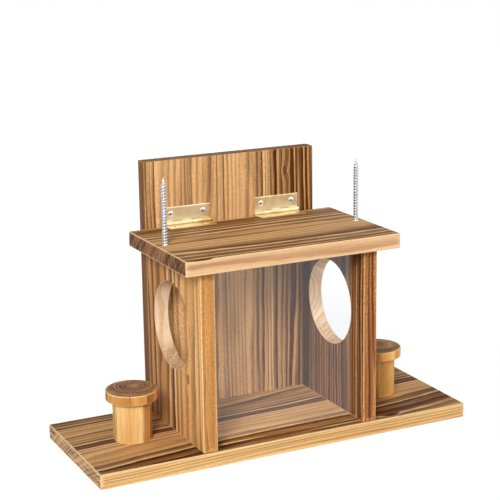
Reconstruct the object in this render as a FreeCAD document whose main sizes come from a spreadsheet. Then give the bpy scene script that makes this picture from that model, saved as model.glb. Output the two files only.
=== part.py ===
import FreeCAD, Part
import math
import os
import Sketcher

# A feeder box: two side panels with round holes and a tall back board stand on a long base,
# a clear window closes the front, and a hinged roof is the lid. A round stool to sit on
# stands at each end of the base, and two pointed screws stand up from the roof.
# +X is to the right, +Y to the back and +Z up. The origin is the middle of the base's underside.

doc = FreeCAD.newDocument("feeder_box")
sheet = doc.addObject("Spreadsheet::Sheet", "Sizes")

# Driving dimensions in millimetres: alias, value, meaning.
DIMENSIONS = (
    ("board", 15, "thickness of every board"),
    ("eased_edge", 0.8, "radius of the sanded board edges"),
    ("base_length", 400, "base, left to right"),
    ("base_depth", 147, "base, front to back"),
    ("box_width", 190, "over the outer faces of the side panels"),
    ("panel_height", 178, "height of a side panel"),
    ("front_step", 2, "base in front of the side panels"),
    ("hole_diameter", 87, "round way in through a side panel"),
    ("hole_rise", 109, "hole centre above the base"),
    ("hole_back", 69.5, "hole centre behind the panel's front edge"),
    ("back_board_height", 260, "back board above the base"),
    ("window_thickness", 3, "clear sheet"),
    ("window_setback", 12.5, "clear sheet behind the panels' front edges"),
    ("window_groove", 5, "depth of the grooves that hold the sheet in the panels"),
    ("window_foot", 2, "depth of the groove that holds the sheet in the base"),
    ("window_play", 0.25, "room round the sheet in its grooves"),
    ("window_headroom", 1, "from the sheet's top edge to the roof"),
    ("roof_side_overhang", 19, "roof past each side panel"),
    ("roof_front_overhang", 12, "roof past the panels' front edges"),
    ("seat_shift", 9, "stool centre from the middle of the base's free end, towards the box"),
    ("post_diameter", 38.4, "stool post"),
    ("post_height", 41, "stool post"),
    ("cap_diameter", 51, "stool top"),
    ("cap_thickness", 10, "stool top"),
    ("cap_easing", 1.2, "radius of the stool top's edges"),
    ("hinge_length", 51, "two inch butt hinge"),
    ("hinge_inset", 44.5, "hinge centre from the back board's side edge"),
    ("leaf_thickness", 1.2, "hinge leaf"),
    ("leaf_reach", 16.5, "hinge leaf from the pin's axis to its free edge"),
    ("pin_diameter", 2.2, "hinge pin"),
    ("pin_standoff", 0.3, "room between the knuckles and the wood"),
    ("pin_play", 0.05, "room round the pin in the turning knuckles"),
    ("knuckle_gap", 0.25, "room between neighbouring knuckles and past them"),
    ("hinge_screw_spacing", 35, "between the two screws of a leaf"),
    ("hinge_screw_reach", 9.5, "leaf screws from the pin's axis"),
    ("hinge_screw_diameter", 2.6, "hinge screw shank"),
    ("hinge_screw_head", 6.4, "hinge screw head"),
    ("hinge_screw_length", 12, "hinge screw"),
    ("wood_screw_diameter", 4, "assembly screw shank"),
    ("wood_screw_head", 8, "assembly screw head"),
    ("panel_bite", 20, "assembly screw inside a side panel"),
    ("panel_screw_inset", 30, "screws under the base from a panel's ends"),
    ("back_screw_inset", 25, "screws in the back board from a panel's ends"),
    ("seat_bite", 7, "stool screw inside the stool top"),
    ("spike_diameter", 6, "pointed screw that feed is pushed on to"),
    ("spike_shank", 6.4, "its plain shank, tight in the roof board"),
    ("spike_head", 11, "its head under the roof"),
    ("spike_rise", 65, "its length above the roof"),
)
for row, (alias, value, meaning) in enumerate(DIMENSIONS, start=1):
    sheet.set(f"A{row}", meaning)
    sheet.set(f"B{row}", str(value))
    sheet.setAlias(f"B{row}", alias)
doc.recompute()

KNUCKLES = 5
SIDES = (("left", -1), ("right", 1))

# Places that more than one piece is set out from, as expressions of the sheet's cells.
BASE_TOP = "Sizes.board"
PANEL_TOP = "(Sizes.board + Sizes.panel_height)"
ROOF_TOP = "(2 * Sizes.board + Sizes.panel_height)"
BACK_FACE = "(Sizes.base_depth / 2)"
BOARD_FACE = "(Sizes.base_depth / 2 - Sizes.board)"
PANEL_FRONT = "(Sizes.front_step - Sizes.base_depth / 2)"
PANEL_INSIDE = "(Sizes.box_width / 2 - Sizes.board)"
PANEL_MIDDLE = "(Sizes.box_width / 2 - Sizes.board / 2)"
ROOF_FRONT = f"({PANEL_FRONT} - Sizes.roof_front_overhang)"
SEAT_X = "((Sizes.base_length + Sizes.box_width) / 4 - Sizes.seat_shift)"
HINGE_X = "(Sizes.box_width / 2 - Sizes.hinge_inset)"
KNUCKLE_RADIUS = "(Sizes.pin_diameter / 2 + Sizes.leaf_thickness)"
LEAF_DROP = f"({KNUCKLE_RADIUS} + Sizes.pin_standoff)"
PIN_Y = f"({BOARD_FACE} - {LEAF_DROP})"
PIN_Z = f"({ROOF_TOP} + {LEAF_DROP})"
WINDOW_FRONT = f"({PANEL_FRONT} + Sizes.window_setback)"
GROOVE_FRONT = f"({WINDOW_FRONT} - Sizes.window_play)"
GROOVE_BACK = f"({WINDOW_FRONT} + Sizes.window_thickness + Sizes.window_play)"


def origin_plane(body, role):
    return next(plane for plane in body.Origin.OriginFeatures if plane.Role == role)


def new_sketch(body, name, role, height="0"):
    """A sketch on one of the body's origin planes, lifted along the plane's normal."""
    sketch = body.newObject("Sketcher::SketchObject", name)
    sketch.AttachmentSupport = (origin_plane(body, role), "")
    sketch.MapMode = "FlatFace"
    sketch.setExpression("AttachmentOffset.Base.z", height)
    return sketch


def tie(sketch, geometry, point, x, y):
    """Fix a point's two coordinates to expressions."""
    for kind, expression in (("DistanceX", x), ("DistanceY", y)):
        number = sketch.addConstraint(Sketcher.Constraint(kind, -1, 1, geometry, point, 1.0))
        sketch.setExpression(f"Constraints[{number}]", expression)


def closed_outline(sketch, corners):
    """Straight lines through the corners, each a pair of expressions. They start as a
    regular polygon, which the constraints then pull into place."""
    count = len(corners)
    turn = 2 * math.pi / count
    start = [FreeCAD.Vector(10 * math.cos(turn * i), 10 * math.sin(turn * i), 0) for i in range(count)]
    for i in range(count):
        sketch.addGeometry(Part.LineSegment(start[i], start[(i + 1) % count]), False)
    for i, (x, y) in enumerate(corners):
        sketch.addConstraint(Sketcher.Constraint("Coincident", i, 2, (i + 1) % count, 1))
        tie(sketch, i, 1, x, y)


def rectangle(sketch, x_low, x_high, y_low, y_high):
    closed_outline(sketch, ((x_low, y_low), (x_high, y_low), (x_high, y_high), (x_low, y_high)))


def circle(sketch, x, y, diameter):
    round_line = Part.Circle(FreeCAD.Vector(0, 0, 0), FreeCAD.Vector(0, 0, 1), 1)
    number = sketch.addGeometry(round_line, False)
    tie(sketch, number, 3, x, y)
    size = sketch.addConstraint(Sketcher.Constraint("Diameter", number, 2.0))
    sketch.setExpression(f"Constraints[{size}]", diameter)


def pad(body, sketch, length):
    feature = body.newObject("PartDesign::Pad", sketch.Name + "_pad")
    feature.Profile = sketch
    feature.setExpression("Length", length)
    return feature


def cut_through(body, sketch):
    """Pocket the sketch through the whole body, to both sides of the sketch."""
    feature = body.newObject("PartDesign::Pocket", sketch.Name + "_cut")
    feature.Profile = sketch
    feature.Type = "ThroughAll"
    feature.Midplane = True
    return feature


def ease_edges(body, feature, radius):
    easing = body.newObject("PartDesign::Fillet", body.Name + "_easing")
    easing.Base = (feature, [""])
    easing.UseAllEdges = True
    easing.setExpression("Radius", radius)
    return easing


def sawn_board(name, x_low, x_high, y_low, y_high, bottom, height):
    """A board cut square, then sanded along all its edges."""
    body = doc.addObject("PartDesign::Body", name)
    sketch = new_sketch(body, name + "_outline", "XY_Plane", bottom)
    rectangle(sketch, x_low, x_high, y_low, y_high)
    ease_edges(body, pad(body, sketch, height), "Sizes.eased_edge")
    return body


def turned_disc(name, x, diameter, bottom, height, easing=None):
    """A round piece of wood standing on the base's middle line."""
    body = doc.addObject("PartDesign::Body", name)
    sketch = new_sketch(body, name + "_outline", "XY_Plane", bottom)
    circle(sketch, x, "0", diameter)
    feature = pad(body, sketch, height)
    if easing:
        ease_edges(body, feature, easing)
    return body


def place(feature, x, y, z, axis=(0, 0, 1), angle=0):
    feature.Placement = FreeCAD.Placement(FreeCAD.Vector(), FreeCAD.Rotation(FreeCAD.Vector(*axis), angle))
    for letter, expression in zip("xyz", (x, y, z)):
        feature.setExpression(f"Placement.Base.{letter}", expression)


# Screws. Each kind is a pointed countersunk screw that hangs below its head's flat top at
# the origin. The plain blank cuts the screw's seat into the pieces that it goes through.

POINT_DIAMETERS = 1.5
RECESS_SPAN, RECESS_SLOT, RECESS_DEPTH = 0.56, 0.15, 0.2


def screw_kind(name, diameter, head, length, shank=None, shank_end=None):
    """The plain blank, and the screw with a cross recess in its head. The point's length is
    given in diameters, and the recess in head diameters. A wider plain shank ends at shank_end
    below the head's top."""
    radius, head_radius = f"({diameter} / 2)", f"({head} / 2)"
    neck_radius = f"({shank or diameter} / 2)"
    point = f"({diameter} * {POINT_DIAMETERS})"
    corners = [("0", "0"), (head_radius, "0"), (neck_radius, f"{neck_radius} - {head_radius}")]
    if shank:
        corners += [(neck_radius, f"-({shank_end})"), (radius, f"-({shank_end})")]
    corners += [(radius, f"{point} - {length}"), ("0", f"-({length})")]
    blank = doc.addObject("PartDesign::Body", name + "_blank")
    profile = new_sketch(blank, name + "_profile", "XZ_Plane")
    closed_outline(profile, corners)
    turned = blank.newObject("PartDesign::Revolution", name + "_turned")
    turned.Profile = profile
    turned.ReferenceAxis = (profile, ["V_Axis"])
    turned.Angle = 360
    slots = []
    for number, (long_side, short_side) in enumerate((("Length", "Width"), ("Width", "Length"))):
        slot = doc.addObject("Part::Box", f"{name}_slot_{number}")
        slot.setExpression(long_side, f"{head} * {RECESS_SPAN}")
        slot.setExpression(short_side, f"{head} * {RECESS_SLOT}")
        slot.setExpression("Height", f"{head} * {RECESS_DEPTH}")
        place(slot, f"-{slot.Name}.Length / 2", f"-{slot.Name}.Width / 2", f"-{slot.Name}.Height")
        slots.append(slot)
    recess = doc.addObject("Part::MultiFuse", name + "_recess")
    recess.Shapes = slots
    screw = doc.addObject("Part::Cut", name)
    screw.Base, screw.Tool = blank, recess
    return blank, screw


def set_out(name, pattern, places, axis=(1, 0, 0), angle=0):
    """One compound of a screw, or of its blank, at each of the places."""
    links = []
    for number, (x, y, z) in enumerate(places):
        link = doc.addObject("App::Link", f"{name}_{number}")
        link.LinkedObject = pattern
        place(link, x, y, z, axis, angle)
        links.append(link)
    group = doc.addObject("Part::Compound", name)
    group.Links = links
    return group


def drilled(name, piece, seats):
    """A finished piece: the blank piece less the seats of the screws in it."""
    tool = doc.addObject("Part::Compound", name + "_seats")
    tool.Links = seats
    finished = doc.addObject("Part::Cut", name + "_drilled")
    finished.Base, finished.Tool = piece, tool
    return finished


parts = {}

hinge_screw = screw_kind("hinge_screw", "Sizes.hinge_screw_diameter", "Sizes.hinge_screw_head",
                         "Sizes.hinge_screw_length")
wood_screw = screw_kind("wood_screw", "Sizes.wood_screw_diameter", "Sizes.wood_screw_head",
                        "(Sizes.board + Sizes.panel_bite)")
seat_screw = screw_kind("seat_screw", "Sizes.wood_screw_diameter", "Sizes.wood_screw_head",
                        "(Sizes.board + Sizes.post_height + Sizes.seat_bite)")
feed_spike = screw_kind("feed_spike", "Sizes.spike_diameter", "Sizes.spike_head",
                        "(Sizes.board + Sizes.spike_rise)", "Sizes.spike_shank", "Sizes.board")


def screws(name, kind, places, axis=(1, 0, 0), angle=0):
    """A part of finished screws, and the seats that they need."""
    blank, finished = kind
    parts[name] = set_out(name, finished, places, axis, angle)
    return set_out(name + "_seat", blank, places, axis, angle)


# Places of the screws on each side. Heads point down under the base, back on the back board
# and down under the roof's overhang.
seats = {}
for side, sign in SIDES:
    panel_x = f"{sign} * {PANEL_MIDDLE}"
    seats["panel", side] = screws(f"panel_screws_{side}", wood_screw, (
        (panel_x, f"{PANEL_FRONT} + Sizes.panel_screw_inset", "0"),
        (panel_x, f"{BOARD_FACE} - Sizes.panel_screw_inset", "0"),
    ), angle=180)
    seats["back", side] = screws(f"back_screws_{side}", wood_screw, (
        (panel_x, BACK_FACE, f"{BASE_TOP} + Sizes.back_screw_inset"),
        (panel_x, BACK_FACE, f"{PANEL_TOP} - Sizes.back_screw_inset"),
    ), angle=-90)
    seats["seat", side] = screws(f"seat_screw_{side}", seat_screw, (
        (f"{sign} * {SEAT_X}", "0", "0"),
    ), angle=180)
    seats["spike", side] = screws(f"feed_spike_{side}", feed_spike, (
        (f"{sign} * (Sizes.box_width + Sizes.roof_side_overhang) / 2",
         f"({ROOF_FRONT} + {PIN_Y}) / 2", PANEL_TOP),
    ), angle=180)

# Hinge screws: a pair through each leaf, heads flush with the leaf's face.
for side, sign in SIDES:
    pair = [f"{sign} * {HINGE_X} + {end} * Sizes.hinge_screw_spacing / 2" for end in (-1, 1)]
    leaf_front = f"{BOARD_FACE} - Sizes.leaf_thickness"
    leaf_top = f"{ROOF_TOP} + Sizes.leaf_thickness"
    seats["board_leaf", side] = screws(f"hinge_{side}_board_screws", hinge_screw, [
        (x, leaf_front, f"{PIN_Z} + Sizes.hinge_screw_reach") for x in pair
    ], angle=90)
    seats["roof_leaf", side] = screws(f"hinge_{side}_roof_screws", hinge_screw, [
        (x, f"{PIN_Y} - Sizes.hinge_screw_reach", leaf_top) for x in pair
    ])

# Base board: the grain runs left to right. A shallow groove holds the window's lower edge.
base = sawn_board("base", "-Sizes.base_length / 2", "Sizes.base_length / 2",
                  f"-{BACK_FACE}", BACK_FACE, "0", "Sizes.board")
foot_groove = new_sketch(base, "base_groove", "XY_Plane", BASE_TOP)
groove_end = f"({PANEL_INSIDE} + Sizes.window_groove)"
rectangle(foot_groove, f"-{groove_end}", groove_end, GROOVE_FRONT, GROOVE_BACK)
foot_cut = base.newObject("PartDesign::Pocket", "base_groove_cut")
foot_cut.Profile = foot_groove
foot_cut.setExpression("Length", "Sizes.window_foot")
parts["base_board"] = drilled("base", base, [seats[kind, side] for kind in ("panel", "seat")
                                             for side, _ in SIDES])

# Side panels: upright grain, a round hole as the way in to the feed, and a groove down
# the inner face for the window.
for side, sign in SIDES:
    name = "panel_" + side
    inner, outer = f"{sign} * {PANEL_INSIDE}", f"{sign} * Sizes.box_width / 2"
    panel = sawn_board(name, inner, outer, PANEL_FRONT, BOARD_FACE, BASE_TOP, "Sizes.panel_height")
    hole = new_sketch(panel, name + "_hole", "YZ_Plane")
    circle(hole, f"{PANEL_FRONT} + Sizes.hole_back", f"{BASE_TOP} + Sizes.hole_rise", "Sizes.hole_diameter")
    cut_through(panel, hole)
    groove = new_sketch(panel, name + "_groove", "XY_Plane")
    rectangle(groove, inner, f"{inner} + {sign} * Sizes.window_groove", GROOVE_FRONT, GROOVE_BACK)
    cut_through(panel, groove)
    parts[f"side_panel_{side}"] = drilled(name, panel, [seats["panel", side], seats["back", side]])

# Back board: covers the rear edges of the side panels and stands well above the roof.
back = sawn_board("back", "-Sizes.box_width / 2", "Sizes.box_width / 2", BOARD_FACE, BACK_FACE,
                  BASE_TOP, "Sizes.back_board_height")
parts["back_board"] = drilled("back", back, [seats[kind, side] for kind in ("back", "board_leaf")
                                             for side, _ in SIDES])

# Window: a clear sheet that slides up out of its grooves once the lid is open.
window = doc.addObject("Part::Box", "window")
window.setExpression("Length", f"2 * ({PANEL_INSIDE} + Sizes.window_groove - Sizes.window_play)")
window.setExpression("Width", "Sizes.window_thickness")
window.setExpression("Height", "Sizes.panel_height + Sizes.window_foot - Sizes.window_headroom")
place(window, "-window.Length / 2", WINDOW_FRONT, f"{BASE_TOP} - Sizes.window_foot")
parts["front_window"] = window

# Roof board: the lid. Its rear edge is in line with the hinge pins, so that it clears the
# back board and the panels as it swings up.
roof_end = "(Sizes.box_width / 2 + Sizes.roof_side_overhang)"
roof = sawn_board("roof", f"-{roof_end}", roof_end, ROOF_FRONT, PIN_Y, PANEL_TOP, "Sizes.board")
parts["roof_board"] = drilled("roof", roof, [seats[kind, side] for kind in ("roof_leaf", "spike")
                                             for side, _ in SIDES])

# Stools: a round post with a wider round top, held by one long screw from under the base.
for side, sign in SIDES:
    x = f"{sign} * {SEAT_X}"
    post = turned_disc("post_" + side, x, "Sizes.post_diameter", BASE_TOP, "Sizes.post_height")
    cap = turned_disc("cap_" + side, x, "Sizes.cap_diameter", f"{BASE_TOP} + Sizes.post_height",
                      "Sizes.cap_thickness", "Sizes.cap_easing")
    parts[f"seat_post_{side}"] = drilled(post.Name, post, [seats["seat", side]])
    parts[f"seat_cap_{side}"] = drilled(cap.Name, cap, [seats["seat", side]])


# Hinges: brass butt hinges. A leaf is worked out lying along +Y from the pin's axis at the
# origin, with its back face one leaf drop below the axis.

def hinge_leaf(name, own_knuckles, bore, leaf_seats, side_x, axis, angle):
    """A flat plate with every second knuckle of the barrel, bored for the pin."""
    body = doc.addObject("PartDesign::Body", name)
    plate = new_sketch(body, name + "_plate", "XY_Plane", f"-{LEAF_DROP}")
    rectangle(plate, "-Sizes.hinge_length / 2", "Sizes.hinge_length / 2",
              f"{KNUCKLE_RADIUS} + Sizes.knuckle_gap", "Sizes.leaf_reach")
    pad(body, plate, "Sizes.leaf_thickness")
    pitch = f"Sizes.hinge_length / {KNUCKLES}"
    for number in own_knuckles:
        start = f"-Sizes.hinge_length / 2 + {number} * {pitch}"
        low = start if number == 0 else f"{start} + Sizes.knuckle_gap / 2"
        room = "Sizes.knuckle_gap" + (" / 2" if number in (0, KNUCKLES - 1) else "")
        tongue = new_sketch(body, f"{name}_tongue_{number}", "YZ_Plane", low)
        rectangle(tongue, "0", f"{KNUCKLE_RADIUS} + 2 * Sizes.knuckle_gap",
                  f"-{LEAF_DROP}", f"Sizes.leaf_thickness - {LEAF_DROP}")
        pad(body, tongue, f"{pitch} - {room}")
        barrel = new_sketch(body, f"{name}_knuckle_{number}", "YZ_Plane", low)
        circle(barrel, "0", "0", f"2 * {KNUCKLE_RADIUS}")
        pad(body, barrel, f"{pitch} - {room}")
    pin_bore = new_sketch(body, name + "_bore", "YZ_Plane")
    circle(pin_bore, "0", "0", bore)
    cut_through(body, pin_bore)
    place(body, side_x, PIN_Y, PIN_Z, axis, angle)
    return drilled(name, body, [leaf_seats])


for side, sign in SIDES:
    x = f"{sign} * {HINGE_X}"
    name = f"hinge_{side}"
    parts[name + "_board_leaf"] = hinge_leaf(
        name + "_upright", range(0, KNUCKLES, 2), "Sizes.pin_diameter",
        seats["board_leaf", side], x, (1, 0, 0), 90)
    parts[name + "_roof_leaf"] = hinge_leaf(
        name + "_lying", range(1, KNUCKLES, 2), "Sizes.pin_diameter + 2 * Sizes.pin_play",
        seats["roof_leaf", side], x, (0, 0, 1), 180)
    pin = doc.addObject("Part::Cylinder", name + "_rod")
    pin.setExpression("Radius", "Sizes.pin_diameter / 2")
    pin.setExpression("Height", "Sizes.hinge_length")
    place(pin, f"{x} - Sizes.hinge_length / 2", PIN_Y, PIN_Z, (0, 1, 0), 90)
    parts[name + "_pin"] = pin

doc.recompute()

# Every feature has to be sound, and every part a valid shape, before anything is written.
failed = [item.Name for item in doc.Objects if "Invalid" in item.State or "Error" in item.State]
if failed:
    raise RuntimeError("features that failed: " + ", ".join(failed))
os.makedirs("parts", exist_ok=True)
for name, feature in parts.items():
    feature.Label = name
    shape = feature.Shape
    if shape.isNull() or not shape.isValid() or not shape.Solids:
        raise RuntimeError("no valid solid in " + name)
for name, feature in parts.items():
    feature.Shape.exportStep(f"parts/{name}.step")
    print(f"{name}: {len(feature.Shape.Solids)} solid(s), {feature.Shape.Volume:.1f} mm3")
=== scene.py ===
import math

import bpy
import numpy as np
from mathutils import Matrix, Vector


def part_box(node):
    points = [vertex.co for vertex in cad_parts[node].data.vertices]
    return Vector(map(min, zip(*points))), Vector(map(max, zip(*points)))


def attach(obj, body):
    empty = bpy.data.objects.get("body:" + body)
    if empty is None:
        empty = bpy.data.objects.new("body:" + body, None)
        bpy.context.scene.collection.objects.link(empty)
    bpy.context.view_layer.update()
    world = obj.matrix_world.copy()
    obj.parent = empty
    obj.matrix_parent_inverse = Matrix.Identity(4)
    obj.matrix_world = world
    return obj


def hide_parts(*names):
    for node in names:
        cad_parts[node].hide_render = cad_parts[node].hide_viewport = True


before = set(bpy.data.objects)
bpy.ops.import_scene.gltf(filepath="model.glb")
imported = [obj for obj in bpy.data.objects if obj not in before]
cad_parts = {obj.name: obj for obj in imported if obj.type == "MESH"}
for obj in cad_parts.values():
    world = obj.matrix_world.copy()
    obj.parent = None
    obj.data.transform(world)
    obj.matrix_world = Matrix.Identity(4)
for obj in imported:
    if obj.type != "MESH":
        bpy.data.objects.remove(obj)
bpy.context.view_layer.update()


# Camera. It stands in front of the left end and a little above the roof, with a long lens. Its
# place, turn and lens were worked out from the edges of the boards.
EYE = (-0.604816, -1.216853, 0.524838)
CAMERA_TURN, CAMERA_TILT, CAMERA_ROLL = (math.radians(angle) for angle in (-26.12, 13.955, -0.838))
LENS = 101.7

backwards = Vector((math.sin(CAMERA_TURN) * math.cos(CAMERA_TILT),
                    -math.cos(CAMERA_TURN) * math.cos(CAMERA_TILT), math.sin(CAMERA_TILT)))
level_right = Vector((math.cos(CAMERA_TURN), math.sin(CAMERA_TURN), 0))
level_up = backwards.cross(level_right)
right = math.cos(CAMERA_ROLL) * level_right + math.sin(CAMERA_ROLL) * level_up
up = math.cos(CAMERA_ROLL) * level_up - math.sin(CAMERA_ROLL) * level_right
scene = bpy.context.scene
camera = bpy.data.objects.new("photo_camera", bpy.data.cameras.new("photo_camera"))
camera.data.lens = LENS
camera.matrix_world = Matrix.Translation(EYE) @ Matrix((right, up, backwards)).transposed().to_4x4()
scene.collection.objects.link(camera)
scene.camera = camera


# Base board. One long fir board, scorched and brushed so that its growth rings stand out as dark
# lines. It is sawn to length, its edges are sanded, and a shallow groove holds the window's foot.
# Sizes are in millimetres in the box's frame, and MM turns them into metres.
MM = 0.001
EASING = 0.8
BRUSHED_DEPTH = 0.12
CUT_PAST = 2.0
STEPS_IN_WOOD = (2.6, 0.7, 0.8)
RING_WANDER = (2 * math.pi / 330, 2 * math.pi / 210)
RING_SWELL = ((2.4, 2 * math.pi / 41, 2 * math.pi / 1400), (0.8, 2 * math.pi / 17, 2 * math.pi / 900))
CREST = 0.82
KNOT_ALONG, KNOT_ACROSS, KNOT_PUSH = 2.6, 1.2, 0.9
NO_KNOT = (900.0, 900.0, 1.0)
UNBOUNDED = 1000.0


def ring_count(along, across, depth, wood):
    """Growth rings from the tree's pith out to a point. That is the distance from the pith line,
    which may run askew, plus a sine that makes the rings wander along the board, plus two sines of
    the distance that make rings thick and thin, plus a bell-shaped bump over a knot, all over one
    ring's width. It works on arrays and on shader values alike."""
    aside, below = across - wood["Pith Across"] - along * wood["Skew"], depth - wood["Pith Depth"]
    distance = np.sqrt(aside * aside + below * below)
    shift = wood["Wander"] * np.sin(along * RING_WANDER[0] + across * RING_WANDER[1] + wood["Seed"])
    for turn, (size, wave, drift) in enumerate(RING_SWELL, start=2):
        shift = shift + size * np.sin(distance * wave + along * drift + wood["Seed"] * turn)
    knot_along = (along - wood["Knot Along"]) / (wood["Knot Size"] * KNOT_ALONG)
    knot_across = (across - wood["Knot Across"]) / (wood["Knot Size"] * KNOT_ACROSS)
    bump = np.exp((knot_along * knot_along + knot_across * knot_across) * -1.0)
    return (distance + shift + bump * wood["Knot Size"] * KNOT_PUSH) / wood["Ring"]


def piece_box(node):
    """A node's lowest and highest corners, in millimetres."""
    low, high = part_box(node)
    return np.array(low) / MM, np.array(high) / MM


def grid_lines(low, high, step, easing):
    """Lines from face to face: three over each eased edge, and about a step apart between."""
    edge = easing * np.array((0, 0.35, 0.7))
    middle = np.linspace(low + easing, high - easing, max(2, int((high - low) / step)))
    return np.concatenate((low + edge, middle, (high - edge)[::-1]))


def block_skin(low, high, steps, easing=EASING):
    """The skin of a block, as the outer points of a lattice of lines along X, Y and Z. Each point
    moves to the end of an arm as long as the easing, which starts on the core of the block and
    points at the point's first place. That rounds every edge. Gives points, arms and faces."""
    lines = [grid_lines(*line, easing) for line in zip(low, high, steps)]
    outer = np.ones([len(line) for line in lines], bool)
    outer[1:-1, 1:-1, 1:-1] = False
    number = np.zeros(outer.shape, int)
    number[outer] = np.arange(outer.sum())
    lattice = np.stack(np.meshgrid(*lines, indexing="ij"), axis=-1)[outer]
    core = np.clip(lattice, low + easing, high - easing)
    arm = lattice - core
    arm /= np.linalg.norm(arm, axis=1, keepdims=True)
    faces = []
    for axis in range(3):
        for end in (0, -1):
            sheet = np.take(number, end, axis=axis)
            quads = np.stack((sheet[:-1, :-1], sheet[1:, :-1], sheet[1:, 1:], sheet[:-1, 1:]), axis=-1)
            turned_in = (end == 0) != (axis == 1)
            faces.append(quads.reshape(-1, 4)[:, ::-1 if turned_in else 1])
    return core + easing * arm, arm, np.concatenate(faces)


def new_piece(name, points, faces, material):
    """A mesh object at the origin, from points in millimetres."""
    mesh = bpy.data.meshes.new(name)
    faces = faces if isinstance(faces, list) else faces.tolist()
    mesh.from_pydata((np.asarray(points) * MM).tolist(), [], faces)
    mesh.materials.append(material)
    piece = bpy.data.objects.new(name, mesh)
    scene.collection.objects.link(piece)
    return piece


def shade(piece, angle=38):
    piece.data.shade_smooth()
    piece.data.set_sharp_from_angle(angle=math.radians(angle))


def cut_away(piece, cutters):
    """Cut closed shapes out of a piece. The cut faces keep the cutter's material."""
    for cutter in cutters:
        saw = piece.modifiers.new("saw", "BOOLEAN")
        saw.operation, saw.solver, saw.object = "DIFFERENCE", "EXACT", cutter
        saw.material_mode = "TRANSFER"
    finished = piece.evaluated_get(bpy.context.evaluated_depsgraph_get())
    piece.data = bpy.data.meshes.new_from_object(finished)
    piece.modifiers.clear()
    for cutter in cutters:
        bpy.data.objects.remove(cutter)


def sleeve(rows, around):
    """The faces that join rows of points, each row a closed loop: the numbers of the points, the
    numbers of those that come after them in their row, and the four corners of every face."""
    number = np.arange(rows * around).reshape(rows, around)
    after = np.roll(number, -1, axis=1)
    corners = np.stack((number[:-1], number[1:], after[1:], after[:-1]), axis=-1)
    return number, after, corners.reshape(-1, 4).tolist()


def turned(radii, heights, columns, ripple=None):
    """A closed turned shape round Z: its radius against its height, from the top down, swept
    through a full turn, with one point at each pole. The ripple gives each radius a factor from
    the height and the angle."""
    radii, heights = np.asarray(radii, float)[:, None], np.asarray(heights, float)[:, None]
    angle = np.linspace(0, 2 * math.pi, columns, endpoint=False)[None, :]
    reach = radii * (ripple(heights, angle) if ripple else 1)
    ring = np.stack((reach * np.cos(angle), reach * np.sin(angle), heights + 0 * angle), axis=-1)
    points = np.concatenate((ring.reshape(-1, 3), ((0, 0, heights[0, 0]), (0, 0, heights[-1, 0]))))
    number, after, quads = sleeve(len(ring), columns)
    top, bottom = len(points) - 2, len(points) - 1
    caps = [(top, a, b) for a, b in zip(number[0], after[0])]
    caps += [(bottom, b, a) for a, b in zip(number[-1], after[-1])]
    return points, quads + caps


def block(name, low, high, material):
    """A plain closed block, to cut with."""
    corners = [(x, y, z) for x in (low[0], high[0]) for y in (low[1], high[1]) for z in (low[2], high[2])]
    faces = [(0, 1, 3, 2), (4, 6, 7, 5), (0, 4, 5, 1), (2, 3, 7, 6), (0, 2, 6, 4), (1, 5, 7, 3)]
    return new_piece(name, corners, faces, material)


def finish_piece(piece, body, slot, *nodes):
    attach(piece, body)
    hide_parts(*nodes)


class Signal:
    """A value inside a shader tree. It adds and multiplies like a number, by adding Math nodes, and
    numpy's sine, root and exponential call its own."""

    def __init__(self, socket):
        self.socket = socket
        self.tree = socket.id_data

    def math(self, operation, *values, first=None):
        node = add_node(self.tree, "ShaderNodeMath", operation=operation)
        for socket, value in zip(node.inputs, (self if first is None else first, *values)):
            connect(self.tree, value, socket)
        return Signal(node.outputs[0])

    def __add__(self, other):
        return self.math("ADD", other)

    def __sub__(self, other):
        return self.math("SUBTRACT", other)

    def __rsub__(self, other):
        return self.math("SUBTRACT", self, first=other)

    def __mul__(self, other):
        return self.math("MULTIPLY", other)

    def __truediv__(self, other):
        return self.math("DIVIDE", other)

    __radd__, __rmul__ = __add__, __mul__

    def sin(self):
        return self.math("SINE")

    def sqrt(self):
        return self.math("SQRT")

    def exp(self):
        return self.math("EXPONENT")

    def size(self):
        return self.math("ABSOLUTE")

    def rise(self, low, high):
        """A smooth step from 0 to 1 as the value goes from low to high, or down if high is less."""
        inputs = {"Value": self, "From Min": low, "From Max": high}
        node = add_node(self.tree, "ShaderNodeMapRange", inputs, interpolation_type="SMOOTHSTEP")
        return Signal(node.outputs[0])


def connect(tree, value, socket):
    if isinstance(value, Signal):
        tree.links.new(value.socket, socket)
    elif isinstance(value, bpy.types.NodeSocket):
        tree.links.new(value, socket)
    else:
        socket.default_value = value


def add_node(tree, kind, inputs=(), **settings):
    """A new node with its settings, and its inputs set to values or joined to other nodes."""
    node = tree.nodes.new(kind)
    for name, value in settings.items():
        setattr(node, name, value)
    for name, value in dict(inputs).items():
        connect(tree, value, node.inputs[name])
    return node


def blend(tree, factor, first, second):
    """One colour turning into another."""
    return add_node(tree, "ShaderNodeMix", {0: factor, 6: first, 7: second}, data_type="RGBA").outputs[2]


def scaled(tree, vector, factor):
    """A vector or a colour times one factor."""
    return add_node(tree, "ShaderNodeVectorMath", {0: vector, "Scale": factor}, operation="SCALE").outputs[0]


def object_place(tree):
    return add_node(tree, "ShaderNodeTexCoord").outputs["Object"]


def noise(tree, position, stretch, detail=3.0, roughness=0.55):
    """Fractal noise over a position, stretched by three factors."""
    spread = add_node(tree, "ShaderNodeVectorMath", {0: position, 1: stretch}, operation="MULTIPLY")
    inputs = {"Vector": spread.outputs[0], "Scale": 1.0, "Detail": detail, "Roughness": roughness}
    return Signal(add_node(tree, "ShaderNodeTexNoise", inputs).outputs["Fac"])


def show_mixed(tree, factor, first, second, output="Material Output"):
    """Send a mix of two shaders to a tree's output."""
    mixed = add_node(tree, "ShaderNodeMixShader", {0: factor, 1: first, 2: second}).outputs[0]
    connect(tree, mixed, tree.nodes[output].inputs["Surface"])


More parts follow.
